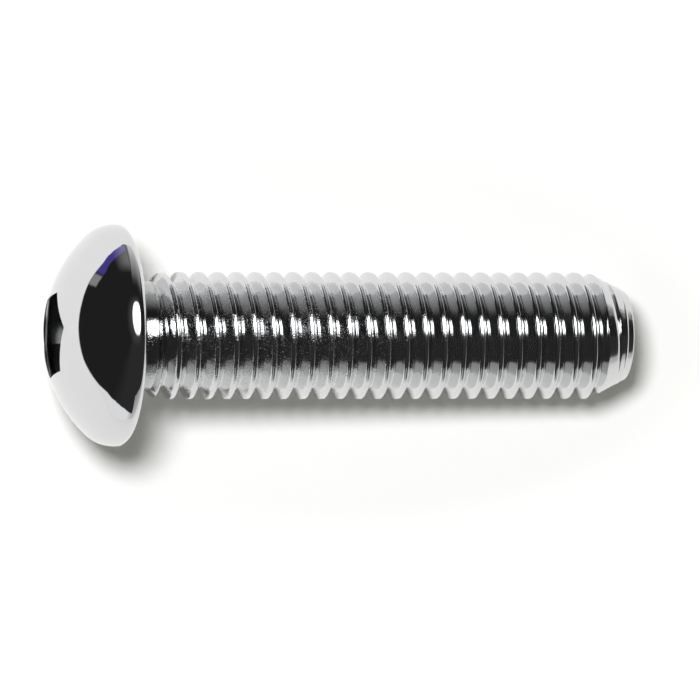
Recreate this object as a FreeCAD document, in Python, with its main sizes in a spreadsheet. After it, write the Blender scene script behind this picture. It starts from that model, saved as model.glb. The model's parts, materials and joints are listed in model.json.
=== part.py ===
import FreeCAD, Part
import math
import os

import Sketcher

# A button head socket screw, M10 x 1.5 and 40 mm long under the head, lying at rest.
# Body frame: X runs along the screw's axis, from the bearing face (X = 0) to the tip.
# Row frame: +Z up, X from head to tip, origin under the middle of the screw on the floor.

# Sizes in millimetres and degrees, each set by itself.
SIZES = {
    # head: a dome of two arcs over a short rim, flat underneath
    "head_diameter": 17.1,
    "crown_height": 6.15,         # bearing face to the dome's top point, which the socket takes away
    "rim_height": 0.8,            # bearing face to the widest point, where the dome starts
    "shoulder_radius": 2.9,       # the dome's tighter curve above the rim
    "rim_rounding": 0.7,          # the rim's edge at the bearing face
    # hexagon socket, punched, with a shallow conical floor
    "socket_across_flats": 6.1,
    "socket_depth": 3.75,         # from the dome's top point to the flat step round the floor
    "socket_turn": 20.0,          # how far a corner stands from the horizontal, about the axis
    "floor_diameter": 5.6,        # the cone in the socket's floor
    "floor_cone_angle": 140.0,
    # shank and its ends
    "shank_length": 39.8,
    "major_diameter": 9.9,        # over the thread's crests
    "neck_diameter": 8.4,         # the plain stretch under the head
    "neck_length": 1.8,           # bearing face to the end of the neck
    "under_head_radius": 0.9,
    "run_in_angle": 55.0,         # the cone from the neck up to the crests, from the axis
    "tip_diameter": 6.9,
    "tip_angle": 27.0,            # the point's cone, from the axis
    # thread: a right-hand V groove
    "pitch": 1.5,
    "crest_width": 0.44,          # rolled crests are broad, and their roots narrow
    "thread_angle": 60.0,
    "thread_start": 1.34,         # bearing face to the groove's first section, on the neck
    "groove_overcut": 0.15,       # how far the cutting section stands out of the crests
}

NODE = "button_head_screw"

# The screw is written out plain at the thread's crests. True leaves the thread cut into it.
THREAD_ON_EXPORT = False

doc = FreeCAD.newDocument("ButtonHeadScrew")


def make_sheet():
    """The spreadsheet of driving dimensions: one named cell for each."""
    sheet = doc.addObject("Spreadsheet::Sheet", "Sizes")
    for row, (alias, value) in enumerate(SIZES.items(), start=1):
        sheet.set(f"A{row}", alias)
        sheet.set(f"B{row}", str(value))
        sheet.setAlias(f"B{row}", alias)
    doc.recompute()
    return sheet


sheet = make_sheet()
X_AXIS, ORIGIN, START, END, CENTRE = -1, -1, 1, 2, 3
WHOLE_TURN = 360.0


def size(alias):
    """A driving dimension, as the sheet holds it."""
    return float(sheet.get(alias))


def datum(body, role):
    """One of the body's own origin planes or axes."""
    return next(item for item in body.Origin.OriginFeatures if item.Role == role)


def new_sketch(body, name, plane="XY_Plane"):
    sketch = body.newObject("Sketcher::SketchObject", name)
    sketch.AttachmentSupport = [(datum(body, plane), "")]
    sketch.MapMode = "FlatFace"
    return sketch


def line(sketch, start, end):
    """A straight edge between two (along, out) points."""
    return sketch.addGeometry(
        Part.LineSegment(FreeCAD.Vector(*start, 0), FreeCAD.Vector(*end, 0)), False
    )


def arc(sketch, centre, radius, first, last):
    """A round edge, anticlockwise from the first angle to the last, in degrees."""
    circle = Part.Circle(FreeCAD.Vector(*centre, 0), FreeCAD.Vector(0, 0, 1), radius)
    return sketch.addGeometry(
        Part.ArcOfCircle(circle, math.radians(first), math.radians(last)), False
    )


def relate(sketch, kind, *members):
    """A constraint with no size of its own."""
    return sketch.addConstraint(Sketcher.Constraint(kind, *members))


def bind(sketch, name, expression, kind, *members):
    """A dimension of the sketch, named and tied to the sheet."""
    index = sketch.addConstraint(Sketcher.Constraint(kind, *members))
    sketch.renameConstraint(index, name)
    sketch.setExpression(f"Constraints.{name}", expression)


def chain(sketch, edges, closed=True):
    """Join each edge's end to the next one's start, and in a closed chain the last to the first."""
    following = edges[1:] + edges[:1] if closed else edges[1:]
    for edge, neighbour in zip(edges, following):
        relate(sketch, "Coincident", edge, END, neighbour, START)


def revolved(body, kind, name, sketch):
    """A turned form, or a turned cut, all round the screw's axis."""
    feature = body.newObject(kind, name)
    feature.Profile = sketch
    feature.ReferenceAxis = (datum(body, "X_Axis"), [""])
    feature.Angle = WHOLE_TURN
    doc.recompute()
    return feature


def removes(body, before, after):
    """Stop if a cut took nothing away, which it does without any message."""
    if not after.Shape.Volume < before.Shape.Volume:
        raise RuntimeError(f"{after.Label} removes nothing from {body.Label}")


def head(body):
    """The button head: crown arc, shoulder arc, rim, rounded edge and flat bearing face."""
    out = size("head_diameter") / 2
    edge, shoulder = size("rim_rounding"), size("shoulder_radius")
    top, rim = -size("crown_height"), -size("rim_height")
    rise = rim - top
    crown = (rise**2 + (out - shoulder) ** 2 - shoulder**2) / (2 * (rise - shoulder))
    turn = math.degrees(math.atan2(out - shoulder, top + crown - rim))
    meet = (
        rim - shoulder * math.cos(math.radians(turn)),
        out - shoulder + shoulder * math.sin(math.radians(turn)),
    )

    sketch = new_sketch(body, "head_profile")
    bearing = line(sketch, (0, 0), (0, out - edge))
    rounding = arc(sketch, (-edge, out - edge), edge, 0, 90)
    land = line(sketch, (-edge, out), (rim, out))
    side = arc(sketch, (rim, out - shoulder), shoulder, 90, 180 - turn)
    dome = arc(sketch, (top + crown, 0), math.dist(meet, (top + crown, 0)), 180 - turn, 180)
    axis = line(sketch, (top, 0), (0, 0))

    relate(sketch, "Coincident", bearing, START, ORIGIN, START)
    relate(sketch, "Coincident", axis, END, bearing, START)
    relate(sketch, "Coincident", dome, END, axis, START)
    relate(sketch, "Vertical", bearing)
    relate(sketch, "Tangent", bearing, END, rounding, START)
    relate(sketch, "Tangent", rounding, END, land, START)
    relate(sketch, "Horizontal", land)
    relate(sketch, "Tangent", land, END, side, START)
    relate(sketch, "Tangent", side, END, dome, START)
    relate(sketch, "PointOnObject", dome, CENTRE, X_AXIS)
    relate(sketch, "Horizontal", axis)
    bind(sketch, "rim_rounding", "Sizes.rim_rounding", "Radius", rounding, edge)
    bind(sketch, "shoulder_radius", "Sizes.shoulder_radius", "Radius", side, shoulder)
    bind(sketch, "head_radius", "Sizes.head_diameter / 2",
         "DistanceY", ORIGIN, START, land, END, out)
    bind(sketch, "rim_height", "Sizes.rim_height",
         "DistanceX", land, END, ORIGIN, START, -rim)
    bind(sketch, "crown_height", "Sizes.crown_height",
         "DistanceX", axis, START, axis, END, -top)
    return revolved(body, "PartDesign::Revolution", "head", sketch)


def shank(body):
    """The shank's blank: under-head radius, neck, run-in cone, crest cylinder and pointed tip."""
    length, out = size("shank_length"), size("major_diameter") / 2
    neck, neck_end = size("neck_diameter") / 2, size("neck_length")
    root_round, tip = size("under_head_radius"), size("tip_diameter") / 2
    run_in = neck_end + (out - neck) / math.tan(math.radians(size("run_in_angle")))
    point = length - (out - tip) / math.tan(math.radians(size("tip_angle")))

    sketch = new_sketch(body, "shank_profile")
    axis = line(sketch, (0, 0), (length, 0))
    end_face = line(sketch, (length, 0), (length, tip))
    point_cone = line(sketch, (length, tip), (point, out))
    crests = line(sketch, (point, out), (run_in, out))
    run_in_cone = line(sketch, (run_in, out), (neck_end, neck))
    plain_neck = line(sketch, (neck_end, neck), (root_round, neck))
    fillet = arc(sketch, (root_round, neck + root_round), root_round, 180, 270)
    face = line(sketch, (0, neck + root_round), (0, 0))

    chain(sketch, [axis, end_face, point_cone, crests, run_in_cone, plain_neck], closed=False)
    relate(sketch, "Coincident", axis, START, ORIGIN, START)
    relate(sketch, "Coincident", face, END, axis, START)
    relate(sketch, "Tangent", plain_neck, END, fillet, END)
    relate(sketch, "Tangent", fillet, START, face, START)
    for edge in (axis, crests, plain_neck):
        relate(sketch, "Horizontal", edge)
    for edge in (end_face, face):
        relate(sketch, "Vertical", edge)
    bind(sketch, "length", "Sizes.shank_length", "DistanceX", axis, START, axis, END, length)
    bind(sketch, "tip_radius", "Sizes.tip_diameter / 2",
         "DistanceY", end_face, START, end_face, END, tip)
    bind(sketch, "crest_radius", "Sizes.major_diameter / 2",
         "DistanceY", ORIGIN, START, crests, START, out)
    bind(sketch, "neck_radius", "Sizes.neck_diameter / 2",
         "DistanceY", ORIGIN, START, plain_neck, START, neck)
    bind(sketch, "neck_length", "Sizes.neck_length",
         "DistanceX", ORIGIN, START, plain_neck, START, neck_end)
    bind(sketch, "under_head_radius", "Sizes.under_head_radius", "Radius", fillet, root_round)
    bind(sketch, "point_length",
         "(Sizes.major_diameter - Sizes.tip_diameter) / 2 / tan(Sizes.tip_angle * 1 deg)",
         "DistanceX", crests, START, end_face, START, length - point)
    bind(sketch, "run_in_length",
         "(Sizes.major_diameter - Sizes.neck_diameter) / 2 / tan(Sizes.run_in_angle * 1 deg)",
         "DistanceX", plain_neck, START, crests, END, run_in - neck_end)
    return revolved(body, "PartDesign::Revolution", "shank", sketch)


def socket(body):
    """The hexagon socket, punched in along the axis from the top of the dome."""
    corner = size("socket_across_flats") / math.sqrt(3)
    sides = 6

    sketch = new_sketch(body, "socket_hexagon", "YZ_Plane")
    sketch.setExpression("AttachmentOffset.Base.z", "-Sizes.crown_height")
    angles = [
        math.radians(size("socket_turn") + WHOLE_TURN * side / sides) for side in range(sides)
    ]
    corners = [(corner * math.cos(angle), corner * math.sin(angle)) for angle in angles]
    flats = [
        line(sketch, start, end) for start, end in zip(corners, corners[1:] + corners[:1])
    ]
    circle = sketch.addGeometry(
        Part.Circle(FreeCAD.Vector(0, 0, 0), FreeCAD.Vector(0, 0, 1), corner), True
    )
    spoke = sketch.addGeometry(
        Part.LineSegment(FreeCAD.Vector(0, 0, 0), FreeCAD.Vector(*corners[0], 0)), True
    )

    chain(sketch, flats)
    relate(sketch, "Coincident", circle, CENTRE, ORIGIN, START)
    for flat in flats:
        relate(sketch, "PointOnObject", flat, START, circle)
    for flat in flats[1:]:
        relate(sketch, "Equal", flats[0], flat)
    relate(sketch, "Coincident", spoke, START, ORIGIN, START)
    relate(sketch, "Coincident", spoke, END, flats[0], START)
    bind(sketch, "corner_radius", "Sizes.socket_across_flats / sqrt(3)", "Radius", circle, corner)
    bind(sketch, "turn", "Sizes.socket_turn * 1 deg",
         "Angle", X_AXIS, START, spoke, START, math.radians(size("socket_turn")))
    doc.recompute()

    before = body.Tip
    punch = body.newObject("PartDesign::Pocket", "socket")
    punch.Profile = sketch
    punch.Reversed = True
    punch.setExpression("Length", "Sizes.socket_depth")
    doc.recompute()
    removes(body, before, punch)
    return punch


def socket_floor(body):
    """The shallow cone that the punch leaves in the socket's floor."""
    step = size("socket_depth") - size("crown_height")
    radius = size("floor_diameter") / 2
    depth = radius / math.tan(math.radians(size("floor_cone_angle") / 2))

    sketch = new_sketch(body, "socket_floor_profile")
    step_line = line(sketch, (step, 0), (step, radius))
    cone = line(sketch, (step, radius), (step + depth, 0))
    axis = line(sketch, (step + depth, 0), (step, 0))

    chain(sketch, [step_line, cone, axis])
    relate(sketch, "Vertical", step_line)
    relate(sketch, "Horizontal", axis)
    relate(sketch, "PointOnObject", step_line, START, X_AXIS)
    bind(sketch, "step_place", "Sizes.socket_depth - Sizes.crown_height",
         "DistanceX", ORIGIN, START, step_line, START, step)
    bind(sketch, "floor_radius", "Sizes.floor_diameter / 2",
         "DistanceY", step_line, START, step_line, END, radius)
    bind(sketch, "cone_depth",
         "Sizes.floor_diameter / 2 / tan(Sizes.floor_cone_angle / 2 * 1 deg)",
         "DistanceX", axis, END, axis, START, depth)

    before = body.Tip
    groove = revolved(body, "PartDesign::Groove", "socket_floor", sketch)
    removes(body, before, groove)
    return groove


def thread(body):
    """The thread: one V section carried along a right-hand helix, from the neck past the tip.

    The groove starts in the neck and ends in the air beyond the end face, so it runs in over the
    neck's cone and out over the point as a rolled thread does.
    """
    half_angle = math.radians(size("thread_angle") / 2)
    out, over = size("major_diameter") / 2, size("groove_overcut")
    depth = (size("pitch") - size("crest_width")) / 2 / math.tan(half_angle)
    begin, half_width = size("thread_start"), (depth + over) * math.tan(half_angle)
    depth_words = "(Sizes.pitch - Sizes.crest_width) / 2 / tan(Sizes.thread_angle / 2 * 1 deg)"
    width_words = (
        "(Sizes.pitch - Sizes.crest_width) / 2"
        " + Sizes.groove_overcut * tan(Sizes.thread_angle / 2 * 1 deg)"
    )

    sketch = new_sketch(body, "groove_section")
    root = (begin, depth - out)
    near, far = (begin - half_width, -out - over), (begin + half_width, -out - over)
    near_flank = line(sketch, root, near)
    mouth = line(sketch, near, far)
    far_flank = line(sketch, far, root)

    chain(sketch, [near_flank, mouth, far_flank])
    relate(sketch, "Horizontal", mouth)
    bind(sketch, "begin", "Sizes.thread_start",
         "DistanceX", ORIGIN, START, near_flank, START, begin)
    bind(sketch, "root_radius", f"Sizes.major_diameter / 2 - {depth_words}",
         "DistanceY", near_flank, START, ORIGIN, START, out - depth)
    bind(sketch, "section_height", f"{depth_words} + Sizes.groove_overcut",
         "DistanceY", near_flank, END, near_flank, START, depth + over)
    bind(sketch, "near_half", width_words,
         "DistanceX", near_flank, END, near_flank, START, half_width)
    bind(sketch, "far_half", width_words,
         "DistanceX", near_flank, START, mouth, END, half_width)
    doc.recompute()

    before = body.Tip
    groove = body.newObject("PartDesign::SubtractiveHelix", "thread")
    groove.Profile = sketch
    groove.ReferenceAxis = (datum(body, "X_Axis"), [""])
    groove.Mode = "pitch-height-angle"
    groove.LeftHanded = False
    groove.setExpression("Pitch", "Sizes.pitch")
    groove.setExpression("Height", "Sizes.shank_length + Sizes.pitch - Sizes.thread_start")
    doc.recompute()
    removes(body, before, groove)
    groove.Suppressed = not THREAD_ON_EXPORT
    return groove


def lay_down(body):
    """Turn the screw from its own axis to the way it lies: on its rim and its last full crest.

    A plane that touches the rim's rounded edge and the crest where the point begins makes an
    angle with the axis of atan(drop / reach) + asin(rounding / distance), where reach and drop
    run from the rounding's centre to that crest.
    """
    edge = size("rim_rounding")
    crest = size("major_diameter") / 2
    point = (crest - size("tip_diameter") / 2) / math.tan(math.radians(size("tip_angle")))
    reach = size("shank_length") - point + edge
    drop = size("head_diameter") / 2 - edge - crest
    tilt = math.atan2(drop, reach) + math.asin(edge / math.hypot(reach, drop))
    height = (reach - edge) * math.sin(tilt) + crest * math.cos(tilt)

    rotation = FreeCAD.Rotation(FreeCAD.Vector(0, 1, 0), math.degrees(tilt))
    body.Placement = FreeCAD.Placement(FreeCAD.Vector(0, 0, height), rotation)
    doc.recompute()
    box = body.Shape.optimalBoundingBox(False, False)
    middle = FreeCAD.Vector(-(box.XMin + box.XMax) / 2, -(box.YMin + box.YMax) / 2, height)
    body.Placement = FreeCAD.Placement(middle, rotation)
    print(f"tilt {math.degrees(tilt):.4f} deg, bearing centre {middle.x:.4f}, {middle.z:.4f} mm")


def screw():
    """The whole screw: formed and rolled from one piece of wire, so one body."""
    body = doc.addObject("PartDesign::Body", NODE)
    body.Label = NODE
    head(body)
    shank(body)
    socket(body)
    socket_floor(body)
    body.Tip = thread(body)
    doc.recompute()
    lay_down(body)
    return body


def check(body):
    """Stop unless every object computed and the body is one valid solid."""
    doc.recompute()
    for item in doc.Objects:
        if "Invalid" in item.State or "Error" in item.State:
            raise RuntimeError(f"{item.Label} failed: {item.State}")
    if body.Shape.isNull() or not body.Shape.isValid() or len(body.Shape.Solids) != 1:
        raise RuntimeError(f"{body.Label} is not one valid solid")


part = screw()
check(part)
os.makedirs("parts", exist_ok=True)
part.Shape.exportStep(os.path.join("parts", f"{part.Label}.step"))
print(f"{part.Label}: {part.Shape.Volume:.1f} mm3, {len(part.Shape.Faces)} faces")
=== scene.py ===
"""A bright plated button head socket screw lying on a white table, seen from above."""

import json
import logging
import math
from dataclasses import dataclass
from enum import Enum
from typing import Any, Sequence

import bpy
import numpy as np
from mathutils import Matrix, Vector


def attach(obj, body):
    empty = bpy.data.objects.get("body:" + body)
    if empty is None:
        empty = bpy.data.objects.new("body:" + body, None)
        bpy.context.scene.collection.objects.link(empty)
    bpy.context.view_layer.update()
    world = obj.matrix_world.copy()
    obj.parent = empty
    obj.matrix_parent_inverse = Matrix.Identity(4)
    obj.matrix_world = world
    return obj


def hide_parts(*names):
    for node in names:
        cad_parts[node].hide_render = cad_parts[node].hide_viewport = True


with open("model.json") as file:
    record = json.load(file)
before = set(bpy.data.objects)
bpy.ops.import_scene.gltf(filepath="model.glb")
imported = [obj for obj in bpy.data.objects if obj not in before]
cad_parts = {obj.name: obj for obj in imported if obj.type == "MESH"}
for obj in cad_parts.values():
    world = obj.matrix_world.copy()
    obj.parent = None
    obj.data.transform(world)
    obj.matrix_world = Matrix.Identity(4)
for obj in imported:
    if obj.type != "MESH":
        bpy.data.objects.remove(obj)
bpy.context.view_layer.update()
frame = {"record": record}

logging.basicConfig(level=logging.INFO, format="%(levelname)s %(message)s")
log = logging.getLogger("screw")

MM = 0.001
TURN = 2.0 * math.pi
NODE = "button_head_screw"
BODY = "root"

Span = tuple[float, float]
Triple = tuple[float, float, float]
Curve = tuple[tuple[float, float], ...]


class Axis(Enum):
    """The order of the letters in a point."""

    X = 0
    Y = 1
    Z = 2


@dataclass(frozen=True)
class Seat:
    """Where the screw lies: the middle of its bearing face, in millimetres, and its dip."""

    x: float
    z: float
    dip: float

    @classmethod
    def from_record(cls, record: dict[str, Any]) -> "Seat":
        """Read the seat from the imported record's bearing face.

        Args:
            record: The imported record, whose mounts hold the face's place and direction.

        Returns:
            The seat of the screw in the row frame.
        """
        mount = next(m for m in record["mounts"] if m["name"] == "bearing_face")
        along, _, down = mount["axis"]
        x, _, z = mount["pos_m"]
        return cls(x / MM, z / MM, math.atan2(-down, along))

    def to_row(self, points: np.ndarray) -> np.ndarray:
        """Turn points on the screw's own axes into the row frame, in metres.

        The screw's X axis runs from the bearing face to the tip and dips by the seat's angle.

        Args:
            points: An array whose last axis holds X, Y and Z in millimetres.

        Returns:
            The same array in the row frame, in metres.
        """
        x, y, z = points[..., 0], points[..., 1], points[..., 2]
        cos, sin = math.cos(self.dip), math.sin(self.dip)
        turned = (self.x + x * cos + z * sin, y, self.z - x * sin + z * cos)
        return np.stack(turned, axis=-1) * MM


@dataclass(frozen=True)
class HeadForm:
    """The button head, in millimetres: crown arc, shoulder arc, rim and bearing face."""

    radius: float = 8.55
    crown_height: float = 6.15
    rim_height: float = 0.8
    shoulder: float = 2.9
    rim_rounding: float = 0.7

    @property
    def crown(self) -> float:
        """The crown arc's radius.

        Crown and shoulder meet without a corner, so the distance between their centres is the
        difference of their radii.

        Returns:
            The radius, in millimetres.
        """
        rise = self.crown_height - self.rim_height
        reach = self.radius - self.shoulder
        return (rise**2 + reach**2 - self.shoulder**2) / (2 * (rise - self.shoulder))

    @property
    def crown_centre(self) -> float:
        """Where the crown arc's centre lies along the axis."""
        return self.crown - self.crown_height

    @property
    def meet(self) -> float:
        """The angle from the axis at which crown and shoulder meet."""
        return math.atan2(self.radius - self.shoulder, self.crown_centre + self.rim_height)

    def crown_at(self, out: np.ndarray) -> np.ndarray:
        """How far along the axis the crown lies at a distance out from it."""
        return self.crown_centre - np.sqrt(self.crown**2 - out**2)

    def beyond(self, out: float, rows: int) -> np.ndarray:
        """The head's profile from a point on the crown to the inner edge of the bearing face.

        Each arc is its centre plus its radius at evenly spaced angles from the axis.

        Args:
            out: Where the profile starts, as a distance from the axis.
            rows: How many points each arc has.

        Returns:
            Rows of (along, out).
        """
        first = math.asin(out / self.crown)
        crown = np.linspace(first, self.meet, rows)
        side = np.linspace(self.meet, math.pi / 2, rows)[1:]
        edge = np.linspace(math.pi / 2, 0.0, rows)
        arcs = (
            (self.crown_centre - self.crown * np.cos(crown), self.crown * np.sin(crown)),
            (
                -self.rim_height - self.shoulder * np.cos(side),
                self.radius - self.shoulder + self.shoulder * np.sin(side),
            ),
            (
                -self.rim_rounding + self.rim_rounding * np.cos(edge),
                self.radius - self.rim_rounding + self.rim_rounding * np.sin(edge),
            ),
        )
        return np.concatenate([np.stack(arc, axis=-1) for arc in arcs])


@dataclass(frozen=True)
class SocketForm:
    """The punched hexagon socket, in millimetres and degrees."""

    across_flats: float = 6.1
    depth: float = 3.75
    turn: float = 20.0
    floor_radius: float = 2.8
    floor_cone: float = 140.0
    edge_break: float = 0.06

    def outline(self, azimuth: np.ndarray) -> np.ndarray:
        """The hexagon's distance from the axis.

        It is half the width over the flats, over the cosine of the angle to the nearest flat's
        middle.

        Args:
            azimuth: Angles about the axis, from Y towards Z.

        Returns:
            The distance at each angle.
        """
        sixth = TURN / 6
        to_flat = np.mod(azimuth - math.radians(self.turn), sixth) - sixth / 2
        return self.across_flats / 2 / np.cos(to_flat)

    @property
    def cone_depth(self) -> float:
        """How deep the floor's cone is."""
        return self.floor_radius / math.tan(math.radians(self.floor_cone / 2))


@dataclass(frozen=True)
class ShankForm:
    """The shank's blank, in millimetres and degrees.

    The thread ends a plain length before the tip's face, and the burr is a raised line round
    the point.
    """

    length: float = 39.8
    crest: float = 4.95
    neck: float = 4.2
    neck_length: float = 1.8
    under_head: float = 0.9
    run_in: float = 55.0
    tip: float = 3.45
    tip_angle: float = 27.0
    tip_rounding: float = 0.22
    tip_plain: float = 0.82
    burr: float = 0.03
    burr_place: float = 39.14
    burr_width: float = 0.05

    def blank(self, along: np.ndarray) -> np.ndarray:
        """The blank's radius.

        It is the smallest of the run-in cone, the crests and the point's cone, and never under
        the neck's before the point.

        Args:
            along: Distances from the bearing face.

        Returns:
            The radius at each distance.
        """
        rise = self.neck + (along - self.neck_length) * math.tan(math.radians(self.run_in))
        fall = self.tip + (self.length - along) * math.tan(math.radians(self.tip_angle))
        return np.minimum(np.clip(rise, self.neck, self.crest), fall)


@dataclass(frozen=True)
class ThreadForm:
    """The rolled right-hand thread, in millimetres: a V groove between seamed crests.

    The edge softness is how softly groove and blank meet, in pairs of distance from the bearing
    face and softness. The rows are places from a valley's middle to the crest's middle, closer
    where the shape bends more.
    """

    pitch: float = 1.5
    depth: float = 0.93
    half_angle: float = 30.0
    valley: float = 0.59
    root_softness: float = 0.06
    crest_softness: float = 0.09
    seam_depth: float = 0.03
    seam_width: float = 0.075
    seam_fade: Span = (27.0, 33.0)
    fade_in: Span = (1.1, 1.9)
    edge_softness: Curve = (
        (1.1, 0.0), (1.9, 0.1), (2.5, 0.3), (3.4, 0.05), (36.5, 0.05), (38.0, 0.02),
    )
    rows: tuple[float, ...] = (
        0.0, 0.015, 0.03, 0.05, 0.08, 0.14, 0.28, 0.42, 0.47, 0.50, 0.525, 0.55, 0.58, 0.62,
        0.66, 0.70, 0.75,
    )

    def row_places(self) -> np.ndarray:
        """Where the rows of one turn lie: up to the crest's middle, and mirrored down from it.

        Returns:
            Places from one valley's middle to just before the next one's.
        """
        rise = np.array(self.rows)
        fall = self.pitch - rise[-2:0:-1]
        return np.concatenate([rise, fall])

    def radius(self, along: np.ndarray, azimuth: np.ndarray, crest: float) -> np.ndarray:
        """The threaded radius.

        The distance from the nearest valley's middle, softened at the root, falls short of the
        groove's half width by an amount that is the groove's depth once divided by the tangent
        of the half angle. A soft maximum with zero rounds the crest's corners, and a bell-shaped
        dip half a pitch from the valley is the seam that rolling leaves.

        Args:
            along: Distance from the bearing face.
            azimuth: Angle about the axis, from Y towards Z.
            crest: The crests' radius.

        Returns:
            The radius at each point.
        """
        turns = (along - self.valley) / self.pitch - azimuth / TURN
        from_valley = np.abs(turns - np.round(turns)) * self.pitch
        slope = math.tan(math.radians(self.half_angle))
        soft = np.sqrt(from_valley**2 + self.root_softness**2)
        short = self.depth - (soft - self.root_softness) / slope
        depth = 0.5 * (short + np.sqrt(short**2 + self.crest_softness**2))
        start, end = self.seam_fade
        seam = self.seam_depth * np.clip((end - along) / (end - start), 0.0, 1.0)
        depth = depth + seam * np.exp(-(((self.pitch / 2 - from_valley) / self.seam_width) ** 2))
        begin, full = self.fade_in
        return crest - depth * np.clip((along - begin) / (full - begin), 0.0, 1.0)


class Socket:
    """A node's output, with the operators of arithmetic on it.

    Each operator adds a Math node and returns its output.
    """

    def __init__(self, nodes: "Nodes", output: bpy.types.NodeSocket | None) -> None:
        """Wrap an output of a node tree, or nothing where a node has no output."""
        self.nodes = nodes
        self.output = output

    def __add__(self, other: Any) -> "Socket":
        """Sum."""
        return self.nodes.maths("ADD", self, other)

    def __radd__(self, other: Any) -> "Socket":
        """Sum, with the number first."""
        return self.nodes.maths("ADD", other, self)

    def __sub__(self, other: Any) -> "Socket":
        """Difference."""
        return self.nodes.maths("SUBTRACT", self, other)

    def __rsub__(self, other: Any) -> "Socket":
        """Difference, with the number first."""
        return self.nodes.maths("SUBTRACT", other, self)

    def __mul__(self, other: Any) -> "Socket":
        """Product."""
        return self.nodes.maths("MULTIPLY", self, other)

    def __rmul__(self, other: Any) -> "Socket":
        """Product, with the number first."""
        return self.nodes.maths("MULTIPLY", other, self)

    def __truediv__(self, other: Any) -> "Socket":
        """Quotient."""
        return self.nodes.maths("DIVIDE", self, other)

    def maximum(self, other: Any) -> "Socket":
        """The larger of the two."""
        return self.nodes.maths("MAXIMUM", self, other)

    def over(self, low: float, high: float) -> "Socket":
        """A smooth step.

        Args:
            low: Where the step starts from 0.
            high: Where it reaches 1.

        Returns:
            The step's result.
        """
        return self.nodes.add(
            "ShaderNodeMapRange",
            {"interpolation_type": "SMOOTHSTEP", "clamp": True},
            {"Value": self, "From Min": low, "From Max": high, "To Min": 0.0, "To Max": 1.0},
        )

    def through(self, points: Curve) -> "Socket":
        """A curve through points, straight between them.

        Args:
            points: Pairs of input and result, in rising order of input.

        Returns:
            The curve's result.
        """
        low, high = points[0][0], points[-1][0]
        least = min(result for _, result in points)
        span = max(result for _, result in points) - least
        stops = [((x - low) / (high - low), [(y - least) / span] * 3) for x, y in points]
        share = (self - low) / (high - low)
        return self.nodes.add("ShaderNodeValToRGB", {"stops": stops}, {"Fac": share}) * span + least


class Nodes:
    """A node tree being filled."""

    def __init__(self, tree: bpy.types.NodeTree) -> None:
        """Start from an empty tree."""
        self.tree = tree
        tree.nodes.clear()

    def add(
        self,
        kind: str,
        settings: dict[str, Any] | None = None,
        inputs: dict[Any, Any] | None = None,
        output: int | str = 0,
    ) -> Socket:
        """Add one node.

        Args:
            kind: The node's type.
            settings: Its own settings, which are set first. A ramp's stops come as "stops".
            inputs: Values or links for its sockets, by name or number.
            output: Which output to return.

        Returns:
            The output, wrapped.
        """
        node = self.tree.nodes.new(kind)
        for name, value in (settings or {}).items():
            if name == "stops":
                self._stops(node.color_ramp, value)
            else:
                setattr(node, name, value)
        for name, value in (inputs or {}).items():
            if isinstance(value, Socket):
                self.tree.links.new(value.output, node.inputs[name])
            else:
                node.inputs[name].default_value = value
        return Socket(self, node.outputs[output] if node.outputs else None)

    def maths(self, operation: str, *values: Any) -> Socket:
        """Add one Math node and return its result."""
        return self.add("ShaderNodeMath", {"operation": operation}, dict(enumerate(values)))

    @staticmethod
    def _stops(ramp: bpy.types.ColorRamp, stops: Sequence[tuple[float, Sequence[float]]]) -> None:
        """Set a ramp's stops.

        Args:
            ramp: The ramp, which has a stop at 0 and one at 1.
            stops: Pairs of place and colour in rising order, from 0 to 1.
        """
        for place, _ in stops[1:-1]:
            ramp.elements.new(place)
        for element, (_, colour) in zip(ramp.elements, stops):
            element.color = (*colour, 1.0)


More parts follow.
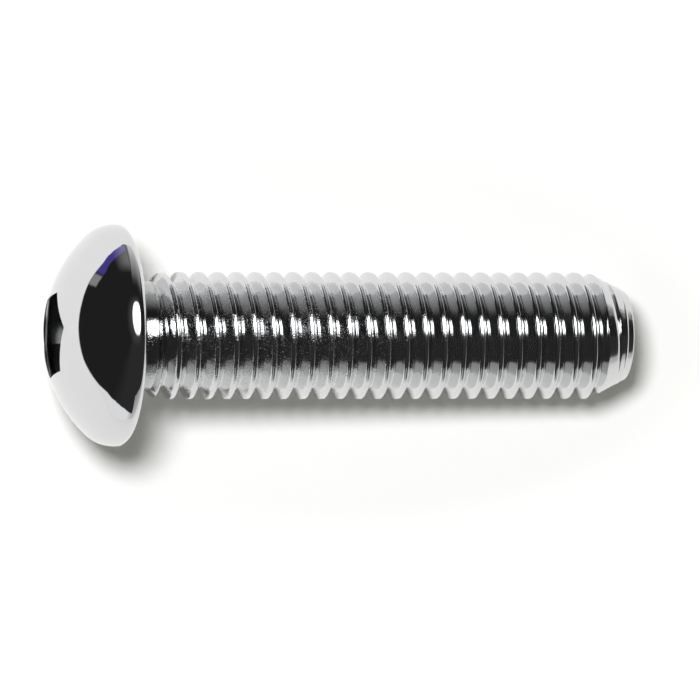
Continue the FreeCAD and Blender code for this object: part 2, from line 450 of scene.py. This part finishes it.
@dataclass(frozen=True)
class BrightPlate:
    """Bright nickel-chrome plate over rolled steel: a mirror with a little grain on the thread.

    Sizes and places are in millimetres, and the places are along the row frame's X axis. Grain
    and pits grow fewer over the calm span. The neck's colour is darkened as painted shade from
    the head, and that painted shade ends over its own span.
    """

    colour: Triple = (0.715, 0.72, 0.73)
    head_roughness: float = 0.03
    worked_roughness: float = 0.1
    shank_start: Span = (-17.5, -16.5)
    # Painted shade: how far the neck's colour is darkened near the head.
    neck_painted_shade: float = 0.35
    neck_shade_end: Span = (-15.6, -14.0)
    calm: float = 0.85
    calm_span: Span = (-2.0, 12.0)
    patch_size: float = 1.8
    patch_detail: float = 2.0
    patch_levels: Span = (0.32, 0.6)
    grain_size: float = 0.14
    grain_detail: float = 3.0
    pit_levels: Span = (0.57, 0.64)
    pit_roughness: float = 0.25
    bump: float = 0.018

    @staticmethod
    def _noise(nodes: Nodes, place: Socket, size: float, detail: float) -> Socket:
        """Random grain.

        Args:
            nodes: The tree.
            place: Object coordinates.
            size: The grain's size in millimetres.
            detail: How many finer layers it has.

        Returns:
            The grain's value, from 0 to 1.
        """
        return nodes.add(
            "ShaderNodeTexNoise",
            {"noise_dimensions": "3D"},
            {"Vector": place, "Scale": 1 / (size * MM), "Detail": detail},
        )

    @staticmethod
    def _step(along: Socket, span: Span) -> Socket:
        """A smooth step from 0 to 1 over a span in millimetres."""
        return along.over(span[0] * MM, span[1] * MM)

    def material(self) -> bpy.types.Material:
        """Build the finish.

        Returns:
            A mirror metal whose roughness follows the "worked" attribute, which is 0 on the head
            and 1 in the socket and on the shank. The shank has grain and pits, most near the
            head, and its neck's colour is darkened as painted shade from the head.
        """
        material = bpy.data.materials.new("bright_plate")
        material.use_nodes = True
        nodes = Nodes(material.node_tree)
        place = nodes.add("ShaderNodeTexCoord", output="Object")
        worked = nodes.add("ShaderNodeAttribute", {"attribute_name": "worked"}, output="Fac")
        grain = self._noise(nodes, place, self.grain_size, self.grain_detail)
        patches = self._noise(nodes, place, self.patch_size, self.patch_detail)
        along = nodes.add("ShaderNodeSeparateXYZ", None, {"Vector": place})
        shank = self._step(along, self.shank_start)
        near_head = shank * (1 - self.calm * self._step(along, self.calm_span))
        speckled = patches.over(*self.patch_levels) * near_head
        pits = grain.over(*self.pit_levels) * speckled
        # Painted shade and reflection: the neck's colour is darkened near the head, in place of the
        # head's shade and its underside mirrored there.
        shaded_neck = worked * shank * (1 - self._step(along, self.neck_shade_end))
        colour = nodes.add(
            "ShaderNodeVectorMath",
            {"operation": "SCALE"},
            {0: self.colour, "Scale": 1 - self.neck_painted_shade * shaded_neck},
        )
        rough = self.head_roughness + worked * (
            self.worked_roughness - self.head_roughness + self.pit_roughness * pits
        )
        relief = {"Distance": self.bump * MM, "Height": grain * worked * speckled}
        normal = nodes.add("ShaderNodeBump", None, {"Strength": 1.0, **relief})
        shader = nodes.add(
            "ShaderNodeBsdfPrincipled",
            None,
            {"Base Color": colour, "Metallic": 1.0, "Roughness": rough, "Normal": normal},
        )
        nodes.add("ShaderNodeOutputMaterial", None, {"Surface": shader})
        return material


@dataclass(frozen=True)
class ButtonHeadScrew:
    """The whole screw as one closed skin, from the socket's floor round to the tip's face.

    It has a number of columns around, and numbers of rows over each arc, over each wall, over
    the socket's step and edge, round its mouth and over the burr. Shares are of the floor's and
    the tip face's radius.
    """

    seat: Seat
    head: HeadForm = HeadForm()
    socket: SocketForm = SocketForm()
    shank: ShankForm = ShankForm()
    thread: ThreadForm = ThreadForm()
    finish: BrightPlate = BrightPlate()
    around: int = 102
    arc_rows: int = 12
    wall_rows: int = 6
    step_rows: int = 3
    edge_rows: int = 4
    blend_rows: int = 9
    burr_rows: int = 22
    spare_turns: int = 3
    blend_radius: float = 4.6
    pole_share: float = 0.02
    face_shares: tuple[float, ...] = (0.66, 0.33, 0.02)
    weld_digits: int = 5
    sharp_angle: float = 50.0

    @property
    def azimuth(self) -> np.ndarray:
        """The angles of the columns, the first on one of the hexagon's corners."""
        start = math.radians(self.socket.turn)
        return start + np.arange(self.around) * TURN / self.around

    @property
    def limits(self) -> Span:
        """Where the threaded rows start and end along the axis."""
        return self.shank.under_head, self.shank.length - self.shank.tip_plain

    def _rings(self, along: np.ndarray, out: np.ndarray) -> np.ndarray:
        """Points as (along, out times the azimuth's cosine, out times its sine).

        Args:
            along: Distances along the axis, which are spread over rows and columns.
            out: Distances from the axis, spread likewise.

        Returns:
            An array of rows, columns and the three coordinates.
        """
        shape = np.broadcast_shapes(along.shape, out.shape, (1, self.around))
        along, out = np.broadcast_to(along, shape), np.broadcast_to(out, shape)
        cos, sin = np.cos(self.azimuth), np.sin(self.azimuth)
        return np.stack([along, out * cos, out * sin], axis=-1)

    def _turned(self, profile: np.ndarray) -> np.ndarray:
        """Rings from rows of (along, out)."""
        return self._rings(profile[:, :1], profile[:, 1:])

    def socket_rings(self) -> np.ndarray:
        """The socket: cone, flat step, six walls, broken edge, and the crown round its mouth.

        The step runs straight from the floor's circle to the hexagon. The broken edge is a
        quarter circle between wall and crown. Round the mouth the rings change from the hexagon
        to a circle in equal steps, and lie on the crown.

        Returns:
            Rings from the floor's middle to a circle on the crown.
        """
        radius, edge = self.socket.floor_radius, self.socket.edge_break
        wall = self.socket.outline(self.azimuth)[None, :]
        step = self.socket.depth - self.head.crown_height
        cone = np.linspace(self.pole_share, 1.0, self.wall_rows)[:, None]
        floor = self._rings(step + self.socket.cone_depth * (1 - cone), radius * cone)
        share = np.linspace(0.0, 1.0, self.step_rows)[1:, None]
        flat = self._rings(np.full((1, 1), step), radius * (1 - share) + wall * share)
        lip = self.head.crown_at(wall + edge)
        rise = np.linspace(0.0, 1.0, self.wall_rows)[1:, None]
        sides = self._rings(step + (lip + edge - step) * rise, wall)
        bend = np.linspace(0.0, math.pi / 2, self.edge_rows)[1:, None]
        mouth = self._rings(lip + edge * (1 - np.sin(bend)), wall + edge * (1 - np.cos(bend)))
        share = np.linspace(0.0, 1.0, self.blend_rows)[1:, None]
        out = (wall + edge) * (1 - share) + self.blend_radius * share
        crown = self._rings(self.head.crown_at(out), out)
        return np.concatenate([floor, flat, sides, mouth, crown])

    def head_rings(self) -> np.ndarray:
        """The rest of the head, the bearing face and the under-head radius.

        The under-head radius is a quarter circle that ends on the neck.

        Returns:
            Rings from the crown to the start of the neck.
        """
        outside = self.head.beyond(self.blend_radius, self.arc_rows)[1:]
        bend = np.linspace(0.0, math.pi / 2, self.wall_rows)
        radius = self.shank.under_head
        under = np.stack(
            [radius * (1 - np.cos(bend)), self.shank.neck + radius * (1 - np.sin(bend))], axis=-1
        )
        return self._turned(np.concatenate([outside, under]))

    def thread_rings(self) -> np.ndarray:
        """The neck's and the thread's rows, which climb one pitch in each turn.

        A row's place along the axis is its turn's valley, plus its share of the pitch, plus the
        azimuth's share of a pitch, held between the under-head radius and the plain end of the
        point. The radius there is a soft minimum of the blank's and the thread's, softest by the
        neck, where the first turn runs in.

        Returns:
            Rings whose last column meets the first column one pitch further on.
        """
        begin, end = self.limits
        pitch, valley = self.thread.pitch, self.thread.valley
        turns = math.ceil((end - begin) / pitch) + self.spare_turns
        start = valley + pitch * (math.floor((begin - valley) / pitch) - 1)
        places = self.thread.row_places()
        rows = (start + pitch * np.arange(turns)[:, None] + places[None, :]).reshape(-1, 1)
        azimuth = self.azimuth[None, :]
        along = np.clip(rows + pitch * azimuth / TURN, begin, end)
        threaded = self.thread.radius(along, azimuth, self.shank.crest)
        blank = self.shank.blank(along)
        soft = np.interp(along, *zip(*self.thread.edge_softness))
        out = 0.5 * (threaded + blank - np.sqrt((threaded - blank) ** 2 + soft**2))
        return self._rings(along, out)

    def tip_rings(self) -> np.ndarray:
        """The plain end of the point with its burr line, the tip's rounded edge and its face.

        The burr line is the cone plus a bell-shaped rise. The edge is an arc from the cone's
        direction to the face's.

        Returns:
            Rings from the cone to near the middle of the face.
        """
        shank = self.shank
        cone, radius = math.radians(shank.tip_angle), shank.tip_rounding
        setback = radius * math.tan((math.pi / 2 - cone) / 2)
        centre_along, centre_out = shank.length - radius, shank.tip - setback
        bend = np.linspace(cone, math.pi / 2, self.wall_rows)
        edge = np.stack(
            [centre_along + radius * np.sin(bend), centre_out + radius * np.cos(bend)], axis=-1
        )
        run = np.linspace(self.limits[1], edge[0, 0], self.burr_rows)[:-1]
        burr = shank.burr * np.exp(-(((run - shank.burr_place) / shank.burr_width) ** 2))
        sloped = np.stack([run, shank.blank(run) + burr], axis=-1)
        out = centre_out * np.array(self.face_shares)
        face = np.stack([np.full_like(out, shank.length), out], axis=-1)
        return self._turned(np.concatenate([sloped, edge, face]))

    def _skin(self, rings: np.ndarray, first: int, climb: int) -> np.ndarray:
        """Quads between neighbouring rings.

        The last column joins the first one, some rows further on.

        Args:
            rings: The rings, as rows by columns.
            first: The number of the first ring's first point.
            climb: By how many rows the seam climbs.

        Returns:
            Rows of four point numbers, turned so that the skin faces outwards.
        """
        rows, columns = rings.shape[:2]
        number = first + np.arange(rows * columns).reshape(rows, columns)
        plain = [number[:-1, :-1], number[:-1, 1:], number[1:, 1:], number[1:, :-1]]
        last, beyond = number[: rows - climb, -1:], number[climb:, :1]
        seam = [last[:-1], beyond[:-1], beyond[1:], last[1:]]
        quads = [np.stack(side, axis=-1).reshape(-1, 4) for side in (plain, seam)]
        return np.concatenate(quads)

    def build(self) -> bpy.types.Object:
        """Build the screw, join its stretches, close its poles and dress it.

        A join has a quad between each two neighbours of one stretch's last ring and the next
        one's first. A pole is the middle of an end ring, with a fan of triangles round it.

        Returns:
            The finished piece, which takes the place of the CAD solid.
        """
        before = np.concatenate([self.socket_rings(), self.head_rings()])
        stretches = (before, self.thread_rings(), self.tip_rings())
        climbs = (0, len(self.thread.row_places()), 0)
        firsts = np.cumsum([0] + [len(rings) * self.around for rings in stretches])
        ring = np.arange(self.around)
        after = np.roll(ring, -1)
        quads = [self._skin(*stretch) for stretch in zip(stretches, firsts, climbs)]
        for new in firsts[1:-1]:
            last = new - self.around
            quads.append(np.stack([last + ring, last + after, new + after, new + ring], axis=-1))
        count = firsts[-1]
        last = count - self.around
        fans = [
            np.stack([after, ring, np.full_like(ring, count)], axis=-1),
            np.stack([last + ring, last + after, np.full_like(ring, count + 1)], axis=-1),
        ]
        poles = np.array([stretches[0][0].mean(axis=0), stretches[-1][-1].mean(axis=0)])
        own = np.concatenate([*(rings.reshape(-1, 3) for rings in stretches), poles])
        piece = self._mesh(own, np.concatenate(quads), np.concatenate(fans))
        piece.data.materials.append(self.finish.material())
        return piece

    def _worked(self, own: np.ndarray) -> np.ndarray:
        """How far the metal is worked at each point.

        It is 1 inside the hexagon and 0 on the rest of the head, and rises to 1 over the second
        half of the under-head radius.

        Args:
            own: Points on the screw's own axes, in millimetres.

        Returns:
            A value from 0 to 1 for each point.
        """
        half = self.shank.under_head / 2
        rolled = np.clip((own[:, 0] - half) / half, 0.0, 1.0)
        out = np.hypot(own[:, 1], own[:, 2])
        wall = self.socket.outline(np.arctan2(own[:, 2], own[:, 1])) + self.socket.edge_break / 2
        punched = (out < wall) & (own[:, 0] < 0)
        return np.maximum(rolled, punched).astype(np.float32)

    def _mesh(self, own: np.ndarray, quads: np.ndarray, fans: np.ndarray) -> bpy.types.Object:
        """Weld points that share a place, drop faces with no area, and make the mesh.

        A quad with one pair of equal neighbours becomes a triangle, and one with more goes.

        Args:
            own: Points on the screw's own axes, in millimetres.
            quads: Four-sided faces.
            fans: Three-sided faces.

        Returns:
            The mesh's object, in the row frame.
        """
        _, kept, merged = np.unique(
            np.round(own, self.weld_digits), axis=0, return_index=True, return_inverse=True
        )
        own, merged = own[kept], merged.reshape(-1)
        quads, fans = merged[quads], merged[fans]
        same = quads == np.roll(quads, -1, axis=1)
        whole = quads[same.sum(axis=1) == 0]
        corner = same.sum(axis=1) == 1
        folded = quads[corner][~same[corner]].reshape(-1, 3)
        mesh = bpy.data.meshes.new("screw")
        mesh.from_pydata(
            self.seat.to_row(own), [], whole.tolist() + folded.tolist() + fans.tolist()
        )
        worked = mesh.attributes.new("worked", "FLOAT", "POINT")
        worked.data.foreach_set("value", self._worked(own))
        mesh.shade_smooth()
        mesh.set_sharp_from_angle(angle=math.radians(self.sharp_angle))
        piece = bpy.data.objects.new("screw", mesh)
        bpy.context.scene.collection.objects.link(piece)
        return piece


@dataclass(frozen=True)
class Eye:
    """The photograph's camera, in millimetres, degrees and pixels, with its clip in metres.

    The scale is pixels to a millimetre at the bearing face, and the bearing is where the middle
    of that face stands from the middle of the picture.
    """

    lean: float = 8.82
    distance: float = 770.0
    scale: float = 13.02
    bearing_x: float = -17.35
    bearing_y: float = 1.115
    frame_width: int = 700
    sensor: float = 36.0
    clip: Span = (0.01, 20.0)

    def place(self, seat: Seat) -> bpy.types.Object:
        """Make the camera.

        The camera's right is X turned up by the lean, its up is Y, and it looks against the
        third.

        Args:
            seat: Where the screw lies.

        Returns:
            The camera.
        """
        lean = math.radians(self.lean)
        right = Vector((math.cos(lean), 0.0, math.sin(lean)))
        up = Vector((0.0, 1.0, 0.0))
        back = Vector((-math.sin(lean), 0.0, math.cos(lean)))
        bearing = Vector((seat.x, 0.0, seat.z))
        spot = bearing - right * self.bearing_x - up * self.bearing_y + back * self.distance
        camera = bpy.data.objects.new("eye", bpy.data.cameras.new("eye"))
        camera.data.sensor_width = self.sensor
        camera.data.lens = self.sensor * self.scale * self.distance / self.frame_width
        camera.data.clip_start, camera.data.clip_end = self.clip
        turn = Matrix((right, up, back)).transposed().to_4x4()
        camera.matrix_world = Matrix.Translation(spot * MM) @ turn
        bpy.context.scene.collection.objects.link(camera)
        bpy.context.scene.camera = camera
        return camera


@dataclass(frozen=True)
class WhiteCard:
    """The sheet of white card that the screw lies on and that keeps its shadow, in metres.

    It is lifted to white for the camera, more so away from the screw, and for the metal. The
    lift away from the screw follows an oval, whose shape is how each axis counts.
    """

    edge: Curve = (
        (-0.0166, 0.0465), (-0.0229, 0.0584), (-0.0312, 0.0651), (-0.0484, 0.0646),
        (-0.0537, 0.0435), (-0.0598, 0.0286), (-0.0712, 0.0191), (-0.0803, 0.0053),
        (-0.0892, -0.0085), (-0.105, -0.03), (-0.163, -0.078), (-0.2, -0.11),
        (0.15, -0.11), (0.15, 0.0465),
    )
    colour: Triple = (0.95, 0.95, 0.95)
    lift: float = 0.09
    far_lift: float = 0.35
    far_reach: Span = (0.013, 0.023)
    far_shape: Triple = (0.5, 1.0, 1.0)
    glossy_lift: float = 0.06

    def material(self) -> bpy.types.Material:
        """Build the card's finish.

        Returns:
            A matt white with a glow that only the camera and the metal see.
        """
        material = bpy.data.materials.new("white_card")
        material.use_nodes = True
        nodes = Nodes(material.node_tree)
        matt = nodes.add("ShaderNodeBsdfDiffuse", None, {"Color": (*self.colour, 1.0)})
        seen = nodes.add("ShaderNodeLightPath", output="Is Camera Ray")
        mirrored = nodes.add("ShaderNodeLightPath", output="Is Glossy Ray")
        place = nodes.add("ShaderNodeTexCoord", output="Object")
        oval = nodes.add(
            "ShaderNodeVectorMath", {"operation": "MULTIPLY"}, {0: place, 1: self.far_shape}
        )
        away = nodes.add("ShaderNodeVectorMath", {"operation": "LENGTH"}, {0: oval}, "Value")
        white = self.lift + self.far_lift * away.over(*self.far_reach)
        strength = seen * white + mirrored * self.glossy_lift
        glow = nodes.add("ShaderNodeEmission", None, {"Color": (1, 1, 1, 1), "Strength": strength})
        both = nodes.add("ShaderNodeAddShader", None, {0: matt, 1: glow})
        nodes.add("ShaderNodeOutputMaterial", None, {"Surface": both})
        return material

    def build(self) -> bpy.types.Object:
        """Build the card as one flat face, turned up.

        Returns:
            The card.
        """
        points = [(x, y, 0.0) for x, y in self.edge]
        mesh = bpy.data.meshes.new("card")
        mesh.from_pydata(points, [], [tuple(range(len(points)))[::-1]])
        mesh.materials.append(self.material())
        card = bpy.data.objects.new("card", mesh)
        bpy.context.scene.collection.objects.link(card)
        return card


@dataclass(frozen=True)
class KeyLamp:
    """The soft round lamp that gives the shadow, in metres and watts."""

    place: Triple = (-0.166, 0.122, 0.62)
    size: float = 0.155
    power: float = 3.8

    def build(self) -> bpy.types.Object:
        """Build the lamp, turned to the screw and kept out of the metal.

        Returns:
            The lamp.
        """
        light = bpy.data.lights.new("key", "AREA")
        light.shape = "DISK"
        light.size = self.size
        light.energy = self.power
        lamp = bpy.data.objects.new("key", light)
        spot = Vector(self.place)
        lamp.location = spot
        lamp.rotation_euler = spot.to_track_quat("Z", "Y").to_euler()
        lamp.visible_glossy = False
        bpy.context.scene.collection.objects.link(lamp)
        return lamp


@dataclass(frozen=True)
class Strip:
    """A stretch of bearings with soft ends, in degrees, and its level."""

    start: Span
    end: Span
    level: float = 1.0

    def at(self, bearing: Socket) -> Socket:
        """The level at a bearing, which is 0 beyond the ends."""
        return bearing.over(*self.start) * (1 - bearing.over(*self.end)) * self.level


@dataclass(frozen=True)
class Window:
    """A soft oval window overhead, with a faint glow round it.

    Its middle and reach are how far a direction leans to X and to Y for each unit of height.
    The edges are squared distances from the middle, in units of the reach.
    """

    middle: Span = (0.27, 0.36)
    reach: Span = (0.28, 0.37)
    edge: Span = (0.05, 1.1)
    strength: float = 8.0
    glow_edge: Span = (0.3, 5.0)
    glow_squash: float = 2.0
    glow_strength: float = 0.055
    least_height: float = 0.05

    def at(self, x: Socket, y: Socket, z: Socket) -> Socket:
        """The window's light in a direction.

        Args:
            x: The direction's part along X.
            y: Its part along Y.
            z: Its height.

        Returns:
            The light's strength.
        """
        up = z.maximum(self.least_height)
        along = (x / up - self.middle[0]) / self.reach[0]
        across = (y / up - self.middle[1]) / self.reach[1]
        wide, tall = along * along, across * across
        window = (1 - (wide + tall).over(*self.edge)) * self.strength
        glow = (1 - (wide + tall * self.glow_squash).over(*self.glow_edge)) * self.glow_strength
        return window + glow


@dataclass(frozen=True)
class Room:
    """What the metal mirrors beyond the card, and an even soft fill for the card itself.

    Towards the head it is dark down to the card's edge. A bright card stands on the near side
    and a pale wall on the far side, which fades upwards. Overhead it is dark but for one soft
    window.

    A bearing is the angle from the head's direction (-X) round towards +Y, and a height is the
    angle over the horizon, both in degrees. Card top is pairs of bearing and height, and the
    levels are pairs of height and level.
    """

    card_top: Curve = (
        (-180.0, 4.0), (-150.0, 4.0), (-122.0, 21.5), (-105.0, 23.0), (-102.0, 0.0), (-93.0, 5.0),
        (-84.0, 9.0), (-70.0, 10.6), (-58.0, 9.4), (-44.0, 3.5), (-30.0, -4.2), (-14.0, -10.0),
        (5.0, -13.4), (32.0, -16.7), (47.0, -15.3), (63.0, -12.0), (78.0, -13.0), (92.0, -18.7),
        (140.0, -10.0), (155.0, 4.0), (180.0, 4.0),
    )
    top_softness: float = 0.8
    card_levels: Curve = (
        (-90.0, 0.95), (-18.0, 0.78), (-4.0, 0.6), (5.0, 0.49), (15.0, 0.41), (24.0, 0.3),
        (40.0, 0.25), (90.0, 0.25),
    )
    even_level: float = 0.94
    even_from: Span = (-102.0, -92.0)
    wall: Strip = Strip((95.0, 99.0), (125.0, 150.0))
    wall_levels: Curve = (
        (-90.0, 1.0), (-35.0, 0.95), (-18.0, 0.76), (-7.0, 0.585), (3.0, 0.42), (12.0, 0.3),
        (21.0, 0.18), (29.0, 0.06), (37.0, 0.01), (45.0, 0.0), (90.0, 0.0),
    )
    haze: Strip = Strip((56.0, 94.0), (94.0, 98.0), 0.2)
    haze_top: Span = (6.0, 26.0)
    shelf_top: Span = (9.5, 11.0)
    shelf_patch: Strip = Strip((29.0, 31.0), (36.0, 38.0), 0.28)
    shelf_blue: Strip = Strip((37.0, 39.0), (91.0, 94.0), 0.26)
    blue_colour: Triple = (0.22, 0.14, 1.0)
    dark: float = 0.017
    near_dark: float = 0.012
    near_from: Span = (40.0, 80.0)
    window: Window = Window()
    fill: float = 0.094
    fill_colour: Triple = (1.0, 0.99, 0.75)

    def _sides(self, height: Socket, bearing: Socket, over_card: Socket) -> Socket:
        """The bright card on the near side and the pale wall on the far side.

        Args:
            height: The direction's height.
            bearing: Its bearing.
            over_card: Its height over the card's top.

        Returns:
            The larger of the two levels.
        """
        wall = height.through(self.wall_levels) * self.wall.at(bearing)
        faded = height.through(self.card_levels)
        level = faded + (self.even_level - faded) * bearing.over(*self.even_from)
        card = (1 - over_card.over(-self.top_softness, self.top_softness)) * level
        return card.maximum(wall)

    def build(self) -> None:
        """Build the room as the scene's world.

        The metal sees the sides, or where they are dark the haze, the shelf over the card's top
        or the dark itself, and the window. The card sees the fill, and the camera plain white.
        """
        world = bpy.data.worlds.new("room")
        bpy.context.scene.world = world
        world.use_nodes = True
        nodes = Nodes(world.node_tree)
        place = nodes.add("ShaderNodeTexCoord", output="Generated")
        parts = nodes.add("ShaderNodeSeparateXYZ", None, {"Vector": place}).output.node.outputs
        x, y, z = (Socket(nodes, parts[axis.value]) for axis in Axis)
        height = nodes.maths("ARCSINE", z) * math.degrees(1.0)
        bearing = nodes.maths("ARCTAN2", y, 0 - x) * math.degrees(1.0)
        over_card = height - bearing.through(self.card_top)
        sides = self._sides(height, bearing, over_card)
        haze = self.haze.at(bearing) * (1 - height.over(*self.haze_top))
        above = over_card.over(-self.top_softness, self.top_softness)
        shelf = above * (1 - over_card.over(*self.shelf_top))
        below = (0 - bearing).over(*self.near_from) * self.near_dark + self.dark
        grey = sides.maximum(haze + shelf * self.shelf_patch.at(bearing)).maximum(below)
        seen = nodes.add("ShaderNodeLightPath", output="Is Camera Ray")
        glossy = nodes.add("ShaderNodeLightPath", output="Is Glossy Ray")
        lights = (
            ((1.0, 1.0, 1.0), (grey + self.window.at(x, y, z)) * glossy + seen),
            (self.blue_colour, shelf * self.shelf_blue.at(bearing) * glossy),
            (self.fill_colour, self.fill * (1 - glossy) * (1 - seen)),
        )
        pale, blue, fill = (
            nodes.add(
                "ShaderNodeBackground", None, {"Color": (*colour, 1.0), "Strength": strength}
            )
            for colour, strength in lights
        )
        sky = nodes.add("ShaderNodeAddShader", None, {0: pale, 1: blue})
        sky = nodes.add("ShaderNodeAddShader", None, {0: sky, 1: fill})
        nodes.add("ShaderNodeOutputWorld", None, {"Surface": sky})


def main() -> None:
    """Build the screw, the card, the lights and the camera."""
    bpy.context.scene.view_settings.view_transform = "Standard"
    seat = Seat.from_record(frame["record"])
    screw = ButtonHeadScrew(seat).build()
    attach(screw, BODY)
    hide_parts(NODE)
    log.info("screw: %d faces", len(screw.data.polygons))
    WhiteCard().build()
    KeyLamp().build()
    Room().build()
    Eye().place(seat)


if __name__ == "__main__":
    main()
